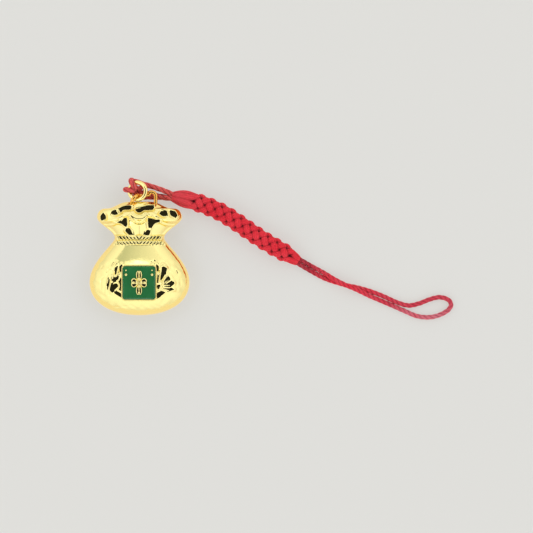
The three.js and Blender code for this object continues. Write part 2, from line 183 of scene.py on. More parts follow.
ring = {
    "meanRadius": 2.1,
    "wireRadius": 0.54,
    "tilt": 18,
    "middle": (-0.45, 22.75, 6.1),
    "splitPlace": 262,
    "split": 4,
    "sides": 40,
    "steps": 220,
}


def besideRing(place, outward, above):
    # a point by the ring's wire: round from the right, outward from its middle line and above its plane
    reach = ring["meanRadius"] + outward
    x, y = reach * math.cos(math.radians(place)), reach * math.sin(math.radians(place))
    c, s = math.cos(math.radians(ring["tilt"])), math.sin(math.radians(ring["tilt"]))
    return tuple(np.add(ring["middle"], (x * c - above * s, y, x * s + above * c)))


braid = {
    "start": (8.3, 21.4),
    "reach": 31.3,
    "fall": 16.1,
    "height": 2.47,
    "line": [
        (0, 0, 0.4), (0.071, 0.027, 0.15), (0.152, 0.065, 0.05), (0.25, 0.13, 0),
        (0.349, 0.209, 0), (0.446, 0.314, 0), (0.541, 0.437, 0), (0.636, 0.565, 0),
        (0.73, 0.686, 0), (0.826, 0.798, 0), (0.92, 0.903, 0.25), (1, 1, 0.8),
    ],
    "lay": 10.8,
    "radius": 2.45,
    "startRadius": 1.38,
    "endRadius": 1.35,
    "startTaper": 3.6,
    "endTaper": 5,
    "middle": 1.42,
    "wave": 0.38,
    "full": 0.27,
    "halfWidth": 0.84,
    "halfThick": 0.62,
    "core": 1.05,
    "smoothStart": (3.6, 6.4),
    "smoothEnd": (0.8, 3.4),
    # millimetres along it, and how faded it is there
    "faded": [(0, 1), (4, 0.6), (9, 0)],
    # how far under its round the painted shade between strands begins, and where it is darkest
    "gapSpan": (0.22, 0.76),
    "thickness": 4.7,
    "sides": 14,
    "step": 0.16,
}
tail = {
    "radius": 0.6,
    "clear": 0.01,  # over the table
    "line": [
        (0.37, 0.44, 0.95), (3.4, -1.3, 0.2), (6.35, -2.9, 0.15), (7.5, -3.58, 0.62),
        (8.72, -4.34, 0.95), (10.54, -5.34, 1.12), (12.45, -6.24, 1.16), (14.41, -7.06, 1.06),
        (16, -7.82, 0.82), (17.58, -8.59, 0.3), (21.01, -10.05, 0), (23.98, -11.32, 0),
        (27, -12.66, 0), (29.9, -13.83, 0), (33.1, -14.11, 0), (36, -13.33, 0),
        (37.93, -12.02, 0), (38.39, -10.83, 0), (37.72, -9.77, 0), (35.6, -9.11, 0),
        (33.06, -9.64, 0), (30.53, -10.62, 0), (27.8, -11.17, 0), (24.8, -10.38, 0),
        (21.5, -8.89, 0), (18.03, -7.57, 0), (14.66, -6.62, 0), (12.23, -6.14, 0),
        (10.27, -5.56, 0), (8.31, -4.97, 0), (6.35, -4.2, 0), (3.4, -2.62, 0.2),
        (-0.1, -0.58, 0.95),
    ],
    "plies": 3,
    "lay": 4.2,
    "fat": 0.72,
    # millimetres along it, and how faded it is there; the low values near the braid also bring in painted
    # shade
    "faded": [
        (2, 0), (10, 0.4), (16, 0.4), (24, 0.62), (31, 1), (38, 1), (44, 0.72), (60, 0.62),
        (68, 0.4), (75, 0.4), (83, 0),
    ],
    "sides": 30,
    "step": 0.11,
}
hitch = {
    "radius": 0.62,
    "reach": 1.1,  # from the middle of the ring's wire
    "wide": 1.12,
    "plies": 3,
    "lay": 5.5,
    "fat": 0.74,
    "sides": 30,
    "step": 0.1,
    "upper": {
        "place": 120,
        "before": [
            (9.3, 21.6, 2.4), (8.2, 22.0, 2.6), (6.4, 22.75, 3),
            (3.9, 23.65, 3.6), (1.4, 24.4, 4.1), (0.2, 24.75, 4.3), (-0.4, 25.05, 4.5),
        ],
        "after": [
            (-0.8, 23.45, 5.1), (-0.3, 23.35, 4.3), (0.8, 23.75, 3.3), (2.1, 24.05, 2.5),
            (4.2, 23.55, 1.9), (6.4, 22.7, 1.7), (8.2, 21.95, 1.4), (9.3, 21.55, 1.5),
        ],
    },
    "lower": {
        "place": 173,
        "before": [
            (9.3, 21.0, 2.5), (7.95, 21.05, 2.7), (6.4, 21.25, 2.5), (4.6, 21.55, 2.3),
            (2, 22.1, 2.3), (0, 22.45, 2.7), (-1.7, 22.85, 3.4),
        ],
        "after": [
            (-1.4, 22.75, 5), (-0.95, 21.9, 4), (-0.1, 21.4, 2.4),
            (1.4, 21.3, 1.4), (4.5, 21.3, 1.05), (7.95, 20.95, 1.4), (9.3, 20.9, 1.6),
        ],
    },
}


def wrapPoints(place):
    # a turn round the ring's wire, from under it, round its outside and over it into the ring
    turns = [math.radians(turn) for turn in range(-45, 181, 45)]
    return [besideRing(place, hitch["reach"] * math.cos(t), hitch["reach"] * math.sin(t)) for t in turns]


# Materials


def newMaterial(name):
    material = bpy.data.materials.new(name)
    material.use_nodes = True
    nodes = material.node_tree.nodes
    return material, nodes, material.node_tree.links, nodes["Principled BSDF"]


def setInputs(node, values):
    for socket, value in values.items():
        node.inputs[socket].default_value = value


def addNode(nodes, kind, **settings):
    # a setting is the value of an input, or else one of the node's own properties
    node = nodes.new(kind)
    for key, value in settings.items():
        if key in node.inputs.keys():
            node.inputs[key].default_value = value
        else:
            setattr(node, key, value)
    return node


def addMath(nodes, operation, by=None):
    node = addNode(nodes, "ShaderNodeMath", operation=operation)
    if by is not None:
        node.inputs[1].default_value = by
    return node


def addRange(nodes, taken=(0, 1), given=(0, 1), **settings):
    # one span of values carried over to another
    node = addNode(nodes, "ShaderNodeMapRange", **settings)
    setInputs(node, dict(zip(("From Min", "From Max", "To Min", "To Max"), (*taken, *given))))
    return node


def addRamp(nodes, stops):
    # places and their colours, in order
    node = addNode(nodes, "ShaderNodeValToRGB")
    marks = node.color_ramp.elements
    while len(marks) < len(stops):
        marks.new(0.5)
    for mark, (place, colour) in zip(marks, stops):
        mark.position, mark.color = place, colour
    return node


def join(links, *pairs):
    # each pair is a node and its output, then a node and its input
    for source, output, target, into in pairs:
        links.new(source.outputs[output], target.inputs[into])


def newGroup(name, inputs, outputs):
    group = bpy.data.node_groups.new(name, "ShaderNodeTree")
    kinds = {"colour": "NodeSocketColor", "value": "NodeSocketFloat"}
    for way, sockets in (("INPUT", inputs), ("OUTPUT", outputs)):
        for socketName, kind in sockets.items():
            group.interface.new_socket(socketName, in_out=way, socket_type=kinds[kind])
    return group, group.nodes.new("NodeGroupInput"), group.nodes.new("NodeGroupOutput")


def platingGroup():
    # polished plate: soft clouding of the gloss, faint waviness, and a browner tone down in the carving
    group, taken, given = newGroup(
        "polishedPlate",
        {"Plate": "colour", "Hollow": "colour", "Depth": "value"},
        {"Color": "colour", "Roughness": "value", "Height": "value"},
    )
    nodes = group.nodes
    place = addNode(nodes, "ShaderNodeTexCoord")
    cloud = addNode(nodes, "ShaderNodeTexNoise", Scale=420, Detail=3)
    ripple = addNode(nodes, "ShaderNodeTexNoise", Scale=900, Detail=2)
    gloss = addRange(nodes, (0.35, 0.7), (0.06, 0.15))
    tone = addNode(nodes, "ShaderNodeMix", data_type="RGBA")
    join(
        group.links,
        (place, "Object", cloud, "Vector"), (cloud, "Fac", gloss, "Value"),
        (gloss, "Result", given, "Roughness"),
        (place, "Object", ripple, "Vector"), (ripple, "Fac", given, "Height"),
        (taken, "Depth", tone, "Factor"), (taken, "Plate", tone, "A"), (taken, "Hollow", tone, "B"),
        (tone, "Result", given, "Color"),
    )
    return group


def yarnGroup():
    # spun yarn: fine filaments that wind round the cord with painted shade in the lines between them, worn
    # lighter in random patches, and painted shade down in the gaps; a filament is the sine of a full turn for
    # each one of (millimetres * slant + turns round * filaments)
    group, taken, given = newGroup(
        "spunYarn",
        {
            "Yarn": "colour", "Worn": "colour", "PaintedGapShade": "colour",
            "Filaments": "value", "Slant": "value", "Depth": "value",
        },
        {"Color": "colour", "Height": "value"},
    )
    nodes = group.nodes
    place = addNode(nodes, "ShaderNodeTexCoord")
    lay = addNode(nodes, "ShaderNodeUVMap", uv_map="lay")
    parts = addNode(nodes, "ShaderNodeSeparateXYZ")
    along = addMath(nodes, "MULTIPLY")
    around = addMath(nodes, "MULTIPLY")
    thread = addMath(nodes, "ADD")
    turn = addMath(nodes, "MULTIPLY", 2 * math.pi)
    wave = addMath(nodes, "SINE")
    ragged = addNode(nodes, "ShaderNodeTexNoise", Scale=2600, Detail=3)
    patch = addNode(nodes, "ShaderNodeTexNoise", Scale=330, Detail=2)
    raggedMore = addMath(nodes, "MULTIPLY_ADD", 2.2)
    wornShare = addRange(nodes, (0.36, 0.72), (0, 0.75))
    filamentShadeShare = addRange(nodes, (-1.4, 1.6), (0.34, 0))
    worn, filamentShaded, deep = [addNode(nodes, "ShaderNodeMix", data_type="RGBA") for layer in range(3)]
    join(
        group.links,
        (lay, "UV", parts, "Vector"), (parts, "X", along, 0), (taken, "Slant", along, 1),
        (parts, "Y", around, 0), (taken, "Filaments", around, 1),
        (along, 0, thread, 0), (around, 0, thread, 1), (thread, 0, turn, 0), (turn, 0, wave, 0),
        (place, "Object", ragged, "Vector"), (ragged, "Fac", raggedMore, 0), (wave, 0, raggedMore, 2),
        (place, "Object", patch, "Vector"), (patch, "Fac", wornShare, "Value"),
        (wornShare, "Result", worn, "Factor"), (taken, "Yarn", worn, "A"), (taken, "Worn", worn, "B"),
        # painted shade: the lines between filaments, and by Depth the gaps, mix toward the gap's shade colour
        (raggedMore, 0, filamentShadeShare, "Value"), (filamentShadeShare, "Result", filamentShaded, "Factor"),
        (worn, "Result", filamentShaded, "A"), (taken, "PaintedGapShade", filamentShaded, "B"),
        (taken, "Depth", deep, "Factor"), (filamentShaded, "Result", deep, "A"), (taken, "PaintedGapShade", deep, "B"),
        (deep, "Result", given, "Color"), (raggedMore, 0, given, "Height"),
    )
    return group


plating = platingGroup()
yarn = yarnGroup()

goldFinish = {"plate": (0.95, 0.82, 0.335, 1), "hollow": (0.6, 0.36, 0.1, 1), "ripple": 0.35}
# painted shade and painted reflection: the bail's gold is darker and more orange, as if shaded and giving
# back the red cords round it
shadedBailFinish = {**goldFinish, "plate": (0.85, 0.47, 0.11, 1)}
enamelFinish = {"deep": (0.0135, 0.108, 0.032, 1), "thin": (0.025, 0.16, 0.051, 1)}
paperFinish = {"paper": (0.86, 0.83, 0.74, 1), "fibre": (0.74, 0.69, 0.57, 1)}
# painted reflection: the orange that the cords show in the gold, put into the yarn's colour for glossy rays
paintedOrangeInGold = (0.62, 0.13, 0.004, 1)
# the braid is paler where it is bound to the hitch; in each cord's finish, gap is the colour of the painted
# shade between strands, plies and filaments
braidFinish = {
    "yarn": [(0, (0.66, 0.015, 0.029, 1)), (1, (0.62, 0.055, 0.068, 1))],
    "worn": (0.72, 0.034, 0.052, 1),
    "gap": (0.14, 0.006, 0.011, 1),
    "filaments": 9,
    "slant": 0.35,
}
hitchFinish = {
    "yarn": [(0, (0.64, 0.075, 0.07, 1))],
    "worn": (0.7, 0.12, 0.11, 1),
    "gap": (0.06, 0.003, 0.004, 1),
    "filaments": 14,
    "slant": -0.9,
}
# the tail's yarn goes from crimson by the braid, partly its own tone and partly painted shade where its two
# cords lie close, through bright red, to a faded red at the loop
tailFinish = {
    "yarn": [
        (0, (0.31, 0.017, 0.029, 1)), (0.4, (0.72, 0.022, 0.045, 1)), (0.7, (0.56, 0.04, 0.07, 1)),
        (1, (0.62, 0.16, 0.205, 1)),
    ],
    "worn": (0.66, 0.06, 0.085, 1),
    "gap": (0.1, 0.004, 0.008, 1),
    "filaments": 14,
    "slant": -0.9,
}


def goldMaterial(name, finish, carved):
    material, nodes, links, shader = newMaterial(name)
    wear = addNode(nodes, "ShaderNodeGroup", node_tree=plating)
    setInputs(wear, {"Plate": finish["plate"], "Hollow": finish["hollow"]})
    if carved:
        depth = addNode(nodes, "ShaderNodeAttribute", attribute_name="hollow")
        join(links, (depth, "Fac", wear, "Depth"))
    bump = addNode(nodes, "ShaderNodeBump", Strength=finish["ripple"], Distance=0.00005)
    setInputs(shader, {"Metallic": 1})
    join(
        links,
        (wear, "Color", shader, "Base Color"), (wear, "Roughness", shader, "Roughness"),
        (wear, "Height", bump, "Height"), (bump, "Normal", shader, "Normal"),
    )
    return material


def enamelMaterial(name, finish):
    # fired enamel: a little lighter where it thins, a few pinholes, very glossy
    material, nodes, links, shader = newMaterial(name)
    place = addNode(nodes, "ShaderNodeTexCoord")
    drift = addNode(nodes, "ShaderNodeTexNoise", Scale=380, Detail=4)
    tone = addNode(nodes, "ShaderNodeMix", data_type="RGBA", A=finish["deep"], B=finish["thin"])
    pin = addNode(nodes, "ShaderNodeTexVoronoi", Scale=900)
    pit = addRange(nodes, (0.02, 0.12))
    bump = addNode(nodes, "ShaderNodeBump", Strength=0.06, Distance=0.0001)
    rough = addRange(nodes, given=(0.12, 0.26))
    setInputs(shader, {"Coat Weight": 0.5, "Coat Roughness": 0.05})
    join(
        links,
        (place, "Object", drift, "Vector"), (drift, "Fac", tone, "Factor"), (drift, "Fac", rough, "Value"),
        (place, "Object", pin, "Vector"), (pin, "Distance", pit, "Value"), (pit, "Result", bump, "Height"),
        (tone, "Result", shader, "Base Color"), (rough, "Result", shader, "Roughness"),
        (bump, "Normal", shader, "Normal"),
    )
    return material


def cordMaterial(name, finish):
    # red yarn, whose tone changes along the cord by how faded it is marked (on the tail this tone also
    # carries painted shade near the braid); in glossy rays the yarn is painted orange, a painted reflection
    # for the gold to give back
    material, nodes, links, shader = newMaterial(name)
    look = addNode(nodes, "ShaderNodeGroup", node_tree=yarn)
    setInputs(look, {"Filaments": finish["filaments"], "Slant": finish["slant"]})
    setInputs(look, {"Yarn": finish["yarn"][0][1], "Worn": finish["worn"], "PaintedGapShade": finish["gap"]})
    if len(finish["yarn"]) > 1:
        fade = addNode(nodes, "ShaderNodeAttribute", attribute_name="faded")
        tone = addRamp(nodes, finish["yarn"])
        join(links, (fade, "Fac", tone, "Fac"), (tone, "Color", look, "Yarn"))
    # painted shade between strands and plies, read from the gap mark
    depth = addNode(nodes, "ShaderNodeAttribute", attribute_name="gap")
    path = addNode(nodes, "ShaderNodeLightPath")
    # painted reflection: glossy rays see the yarn as the orange above instead of its red
    orangeReflection = addNode(nodes, "ShaderNodeMix", data_type="RGBA", B=paintedOrangeInGold)
    bump = addNode(nodes, "ShaderNodeBump", Strength=0.5, Distance=0.00006)
    setInputs(shader, {"Roughness": 0.78, "Specular IOR Level": 0.25})
    setInputs(shader, {"Sheen Weight": 0.04, "Sheen Roughness": 0.4, "Sheen Tint": (1, 0.55, 0.58, 1)})
    join(
        links,
        (depth, "Fac", look, "Depth"), (path, "Is Glossy Ray", orangeReflection, "Factor"), (look, "Color", orangeReflection, "A"),
        (orangeReflection, "Result", shader, "Base Color"), (look, "Height", bump, "Height"),
        (bump, "Normal", shader, "Normal"),
    )
    return material


def paperMaterial(name, finish):
    material, nodes, links, shader = newMaterial(name)
    place = addNode(nodes, "ShaderNodeTexCoord")
    fibre = addNode(nodes, "ShaderNodeTexNoise", Scale=1500, Detail=6)
    tone = addNode(nodes, "ShaderNodeMix", data_type="RGBA", A=finish["paper"], B=finish["fibre"])
    bump = addNode(nodes, "ShaderNodeBump", Strength=0.3, Distance=0.0001)
    setInputs(shader, {"Roughness": 0.9})
    join(
        links,
        (place, "Object", fibre, "Vector"), (fibre, "Fac", tone, "Factor"), (fibre, "Fac", bump, "Height"),
        (tone, "Result", shader, "Base Color"), (bump, "Normal", shader, "Normal"),
    )
    return material


carvedGold = goldMaterial("carvedGold", goldFinish, True)
plainGold = goldMaterial("plainGold", goldFinish, False)
shadedBailGold = goldMaterial("shadedBailGold", shadedBailFinish, False)
greenEnamel = enamelMaterial("greenEnamel", enamelFinish)
braidYarn = cordMaterial("braidYarn", braidFinish)
hitchYarn = cordMaterial("hitchYarn", hitchFinish)
tailYarn = cordMaterial("tailYarn", tailFinish)
slipPaper = paperMaterial("slipPaper", paperFinish)
print("materials made")


# Cords

# how deep between the plies their painted shade begins, and how dark it gets
twist = {"gapFrom": 0.45, "gapShade": 0.75}


def tubeCorners(along, sides):
    # per-corner lay coordinates of a tube's squares: millimetres along it, and turns round it
    low, high = np.arange(sides) / sides, (np.arange(sides) + 1) / sides
    rows = len(along) - 1
    u = np.stack([along[:-1], along[:-1], along[1:], along[1:]], -1)[:, None, :].repeat(sides, 1)
    v = np.stack([low, high, high, low], -1)[None].repeat(rows, 0)
    return np.stack([u, v], -1).reshape(-1, 2)


def tubeFaces(rows, sides, start=0):
    # a tube's squares, then the triangles of its two ends; the end points follow the grid
    first = start + np.arange(sides)
    last = start + (rows - 1) * sides + np.arange(sides)
    ends = np.vstack([fan(start + rows * sides, first, True), fan(start + rows * sides + 1, last, True)])
    return gridQuads(rows, sides, True, start), ends


def sweep(route, first, second, sides, wide, high):
    # a ring of points at each step of a route: wide * cos(angle) along first, high * sin(angle) along second
    angle = evenTurns(sides)
    level = (wide * np.cos(angle))[..., None] * first[:, None]
    return route[:, None] + level + (high * np.sin(angle))[..., None] * second[:, None]


def capped(rings, route):
    # the points of the rings, then the middle of each end
    return np.vstack([rings.reshape(-1, 3), route[0], route[-1]])


def twistedCord(name, points, setup, material, nodes, wideAt=None, wide=None):
    # several round plies about the middle line, turning once in each lay: from the middle, the edge at an
    # angle is the far side of the nearest ply
    route, along = smoothRoute(points, setup["step"])
    station = None if wide is None else int(np.argmin(np.linalg.norm(route - np.array(wideAt), axis=1)))
    first, second = carriedFrame(route, station, wide)
    sides, radius = setup["sides"], setup["radius"]
    ply = 2 * np.pi / setup["plies"]
    local = (evenTurns(sides)[None] - 2 * np.pi * along[:, None] / setup["lay"]) % ply - ply / 2
    plyRadius = setup["fat"] * radius
    offset = radius - plyRadius
    edge = offset * np.cos(local) + np.sqrt(plyRadius**2 - (offset * np.sin(local)) ** 2)
    gap = (radius - edge) / (radius - edge.min())
    rings = sweep(route, first, second, sides, setup.get("wide", 1) * edge, edge)
    quads, ends = tubeFaces(len(route), sides)
    uv = np.vstack([tubeCorners(along, sides), np.zeros((ends.size, 2))])
    # painted shade: the gap mark darkens the yarn down between the plies
    marks = {"gap": np.append(twist["gapShade"] * ease(gap.ravel(), twist["gapFrom"], 1), [0, 0])}
    if "faded" in setup:
        faded = np.repeat(np.interp(along, *zip(*setup["faded"])), sides)
        marks["faded"] = np.append(faded, [0, 0])
    piece = addPiece(name, capped(rings, route), [quads, ends], material, "strap", nodes, uv, marks)
    return piece, route, along[-1]


def roundBraid(name, setup, material, nodes):
    # eight flat strands round a core, four each way: strand angle = +-phase + a quarter turn each, and its
    # distance from the middle swings in and out with four times the phase, so that it goes over and under
    (x, y), z, sides = setup["start"], setup["height"], setup["sides"]
    points = [(x + a * setup["reach"], y - d * setup["fall"], z - dip) for a, d, dip in setup["line"]]
    route, along = smoothRoute(points, setup["step"])
    first, second = carriedFrame(route)
    length = along[-1]
    weaving = ease(along, *setup["smoothStart"]) * ease(length - along, *setup["smoothEnd"])
    eighths = round(length / setup["lay"] * np.mean(weaving) * 8)
    phase = np.pi / 8 + np.cumsum(weaving) / np.sum(weaving) * eighths * np.pi / 4

    def swelling(narrow, run):
        # a quarter of a sine wave, from a narrow end out to the full radius
        return narrow + (setup["radius"] - narrow) * np.sin(np.pi / 2 * np.clip(run, 0, 1))

    radius = np.minimum(
        swelling(setup["startRadius"], along / setup["startTaper"]),
        swelling(setup["endRadius"], (length - along) / setup["endTaper"]),
    )
    size = radius / setup["radius"]
    vertices, quadParts, endParts, gapShading = [], [], [], []
    # the core is the one that goes neither way
    courses = [(way, quarter) for way in (1, -1) for quarter in range(4)] + [(0, 0)]
    for way, quarter in courses:
        turn = way * phase + quarter * np.pi / 2
        swing = way * setup["wave"] * weaving * np.cos(4 * phase)
        reach = abs(way) * size * (setup["middle"] + setup["full"] * (1 - weaving) + swing)
        radial = np.cos(turn)[:, None] * first + np.sin(turn)[:, None] * second
        line = route + reach[:, None] * radial
        forward = unit(np.gradient(line, axis=0))
        across = unit(np.cross(forward, radial))
        lift = np.cross(across, forward)
        half, thick = (setup["halfWidth"], setup["halfThick"]) if way else (setup["core"], setup["core"])
        strand = sweep(line, across, lift, sides, half * size[:, None], thick * size[:, None])
        quads, ends = tubeFaces(len(route), sides, sum(len(part) for part in vertices))
        vertices.append(capped(strand, line))
        quadParts.append(quads)
        endParts.append(ends)
        # painted shade: the gap mark darkens each strand by how far under the braid's round it lies
        below = (radius[:, None] - np.linalg.norm(strand - route[:, None], axis=2)) / size[:, None]
        gapShading.append(np.append(ease(below.ravel(), *setup["gapSpan"]), [0, 0]))
    count = len(courses)
    uv = np.vstack([tubeCorners(along, sides)] * count + [np.zeros((ends.size, 2))] * count)
    faded = np.repeat(np.interp(along, *zip(*setup["faded"])), sides)
    marks = {"gap": np.concatenate(gapShading), "faded": np.tile(np.append(faded, faded[[0, -1]]), count)}
    faces = [np.vstack(quadParts), np.vstack(endParts)]
    piece = addPiece(name, np.vstack(vertices), faces, material, "strap", nodes, uv, marks)
    return piece, route, length


braidPiece, braidRoute, braidLength = roundBraid("braidedCord", braid, braidYarn, ["braid"])
braidEnd = (braid["start"][0] + braid["reach"], braid["start"][1] - braid["fall"])
tailRest = tail["radius"] + tail["clear"]
tailPoints = [(braidEnd[0] + x, braidEnd[1] + y, tailRest + z) for x, y, z in tail["line"]]
tailPiece, tailRoute, tailLength = twistedCord("tailCord", tailPoints, tail, tailYarn, ["tail_cord"])
for side in ("upper", "lower"):
    place = hitch[side]["place"]
    hitchPoints = hitch[side]["before"] + wrapPoints(place) + hitch[side]["after"]
    alongWire = unit(np.subtract(besideRing(place + 1, 0, 0), besideRing(place - 1, 0, 0)))
    loop = twistedCord(
        side + "HitchLoop", hitchPoints, hitch, hitchYarn, ["hitch_loop_" + side],
        besideRing(place, hitch["reach"], 0), alongWire,
    )
print("cords made: braid %.1f mm, tail %.1f mm" % (braidLength, tailLength))


# Ring and bail

bail = {
    "radius": 0.48,
    "sides": 28,
    "step": 0.07,
    "clear": 1.1,
    # through the ring: place round it, outward from its wire, and above its plane as a share of clear
    "through": [
        (247, 0.45, 0.95), (257, -0.6, 0.9), (268, -1.02, 0.32), (282, -0.98, -0.42), (300, -0.75, -0.95),
        (322, -0.35, -1.4), (342, 0.4, -1.75),
    ],
    "crown": 20.1,
    "footHeight": 5.05,
    "sink": 1.3,
    "leftSide": 1.9,
    "rightSide": 4.05,
    "archRise": 2.4,
    "archRadius": 1.0,
    "archTurns": (120, 90, 45, 0),
    "lift": 0.7,
}


def wirePiece(name, route, radius, sides, material, body, nodes):
    # a round wire: a circle carried along the route
    rings = sweep(route, *carriedFrame(route), sides, radius, radius)
    addPiece(name, capped(rings, route), tubeFaces(len(route), sides), material, body, nodes)


halfSplit = ring["split"] / 2
ringTurns = ring["splitPlace"] + np.linspace(halfSplit, 360 - halfSplit, ring["steps"])
ringRoute = np.array([besideRing(turn, 0, 0) for turn in ringTurns])
wirePiece("splitRing", ringRoute, ring["wireRadius"], ring["sides"], plainGold, "ring", ["jump_ring"])


def bailFoot(side, rise, up):
    return (side, bail["crown"] + rise, bail["footHeight"] + up)


def bailArch(turn):
    # the round right shoulder of the staple
    reach, angle = bail["archRadius"], math.radians(turn)
    middle = (bail["rightSide"] - reach, bail["archRise"] - reach)
    return bailFoot(middle[0] + reach * math.cos(angle), middle[1] + reach * math.sin(angle), 0)


bailPoints = [
    bailFoot(-bail["leftSide"], -bail["sink"], 0),
    bailFoot(-bail["leftSide"], -bail["radius"], bail["lift"]),
    *(besideRing(place, outward, above * bail["clear"]) for place, outward, above in bail["through"]),
    *(bailArch(turn) for turn in bail["archTurns"]),
    bailFoot(bail["rightSide"], 0, 0),
    bailFoot(bail["rightSide"], -bail["sink"], 0),
]
bailRoute = smoothRoute(bailPoints, bail["step"])[0]
# the bail takes the gold with painted shade and painted reflection
wirePiece("wireBail", bailRoute, bail["radius"], bail["sides"], shadedBailGold, "charm", ["bail"])
print("ring and bail made")


# Bag: two hollow halves that meet at the seam

bag = {
    "seam": 4.2,
    "wall": 0.7,
    "frontWall": 1.5,
    "columns": 290,
    "innerColumns": 18,
    "rows": (54, 76, 72, 30, 40, 6),
    "bellyRows": (24, 40),
    # the carving fades in by the cosine of the angle from the middle
    "carved": (0.2, 0.55),
    # how deep a hollow is where it begins to brown and where it is brownest, and how brown
    "hollowDepth": (0.3, 0.8),
    "hollowShade": 0.3,
    # turn, half width, rise, thickness in front and behind, reach of the curve's handles, pull of the wall
    "stations": [
        ("across", 0, -8.3, 0, 0, (0, 0.6), 1),
        ("along", 12.5, 0, 5.3, 4.6, (0.6, 0.46), 0),
        ("along", 6.2, 11, 3, 2.2, (0.12, 0.38), 0),
        ("along", 10.6, 16.2, 3.6, 4.3, (0.34, 0.55), 0),
        ("across", 8.7, 18.4, 3, 3.2, (0.55, 0.44), -1),
        ("across", 2.5, 20.1, 1.5, 1.5, (0.44, 0.33), -1),
        ("across", 0, 20.1, 0, 0, (0.33, 0), -1),
    ],
}
neckTie = {
    # rise of each cord, and the slope of the bag under it
    "cords": ((11.15, 0.0), (9.87, 0.29)), "radius": 0.62, "stand": 0.5, "pitch": 0.86, "slant": 0.45,
    "groove": 0.15, "halfWidth": 6.2, "front": 3.0, "steepest": 0.85,
}
lip = {
    "dipRise": 15.75, "crestRise": 17.2, "cornerRise": 15.2, "crestSide": 2.7, "crestInner": 1.25,
    "crestOuter": 2.5, "rollWidth": 0.55, "rollStand": 0.4, "hemDrop": 1.05, "hemWidth": 0.3, "hemStand": 0.4,
}
panel = {
    "footRise": 11.6, "headRise": 15.2, "footSide": 1.7, "headSide": 2.9, "crease": 0.6, "edge": 0.45,
    "fall": 1.2, "lean": 0.12, "tilt": 0.07, "widest": 1.3,
    # the rise over which it begins, and the stretch about the lip's line over which it ends
    "begins": (11.55, 12.1), "ends": (-0.9, 0.1),
}
backFolds = {"height": 0.22, "pitch": 3.1, "begins": (11.6, 13), "ends": (15, 17.5)}
# the gathered mouth, and the walls of the hollows in it
gathers = {"halfWidth": 10.6, "foot": 11, "rise": 9.1, "front": 3.6, "wall": 0.45, "round": 7, "grown": 0.1}
# hollows pressed into the gathers: height over the seam as a share of the front's, then the corners in order,
# as shares of the mouth's half width and of the rise from the tie to the crown
hollows = [
    (0.66, [(-0.48, 0.8), (-0.4, 0.87), (-0.29, 0.9), (-0.2, 0.89), (-0.19, 0.79), (-0.37, 0.77)]),
    (0.66, [(-0.48, 0.8), (-0.37, 0.81), (-0.39, 0.75), (-0.42, 0.7), (-0.45, 0.7)]),
    (0.7, [(-0.63, 0.64), (-0.64, 0.72), (-0.55, 0.75), (-0.5, 0.66), (-0.55, 0.63)]),
    (0.49, [(-0.92, 0.6), (-0.86, 0.68), (-0.79, 0.62), (-0.79, 0.52), (-0.9, 0.49)]),
    (0.67, [(0.08, 0.84), (0.18, 0.9), (0.35, 0.9), (0.33, 0.78), (0.15, 0.76), (0.08, 0.78)]),
    (0.67, [(-0.1, 0.78), (0.04, 0.83), (0.15, 0.82), (0.1, 0.75), (0.02, 0.69), (-0.06, 0.71)]),
    (0.69, [(0.47, 0.66), (0.51, 0.74), (0.69, 0.72), (0.7, 0.63), (0.56, 0.59)]),
    (0.54, [(0.71, 0.74), (0.84, 0.74), (0.9, 0.62), (0.86, 0.57), (0.74, 0.61)]),
    (0.91, [(-0.37, 0.54), (-0.29, 0.56), (-0.28, 0.35), (-0.33, 0.32), (-0.4, 0.4), (-0.4, 0.47)]),
    (0.91, [(-0.51, 0.43), (-0.4, 0.47), (-0.39, 0.39)]),
    (0.85, [(-0.33, 0.2), (-0.28, 0.27), (-0.21, 0.27), (-0.18, 0.19), (-0.14, 0.09), (-0.25, 0.1)]),
    (0.91, [(0.2, 0.55), (0.26, 0.55), (0.34, 0.52), (0.32, 0.37), (0.27, 0.26), (0.25, 0.23), (0.22, 0.27)]),
    (0.91, [(0.28, 0.52), (0.34, 0.52), (0.48, 0.48), (0.48, 0.45), (0.35, 0.41)]),
    (0.85, [(0.18, 0.22), (0.24, 0.22), (0.24, 0.1), (0.19, 0.07), (0.12, 0.1)]),
]
# flowers beside the plaque: petals and the ground between them, each turned nearly level about its own middle
carving = {"level": 0.95, "sink": 0.1, "wall": 0.2, "rim": 0.12, "rimOut": 0.24, "rimWidth": 0.14}
# middle, direction, half length, half width, and how much wider it grows along its direction
flats = [
    (5.0, -1.15, 0, 0.68, 0.68, 0), (5.95, 2.1, 71, 1.75, 0.56, 0.35), (6.85, 0.65, 40, 0.9, 0.42, 0.35),
    (7.35, -0.45, 10, 1.45, 0.44, 0.3), (7.3, -1.75, -4, 1.4, 0.3, 0), (5.05, -2.85, 30, 1.15, 0.6, -0.2),
    (4.53, 3.4, 90, 0.8, 0.36, 0), (-6.3, -1.3, 38, 1.3, 0.74, 0), (-7.65, -0.5, 80, 1.1, 0.26, 0),
    (-5.5, 0.85, 35, 0.95, 0.4, 0), (-4.55, -0.3, 90, 1.3, 0.32, 0), (-4.85, -2.9, -30, 0.95, 0.42, 0),
    (-5.7, 2.9, 78, 1.0, 0.28, 0), (-4.5, 3.3, 90, 0.85, 0.38, 0),
]
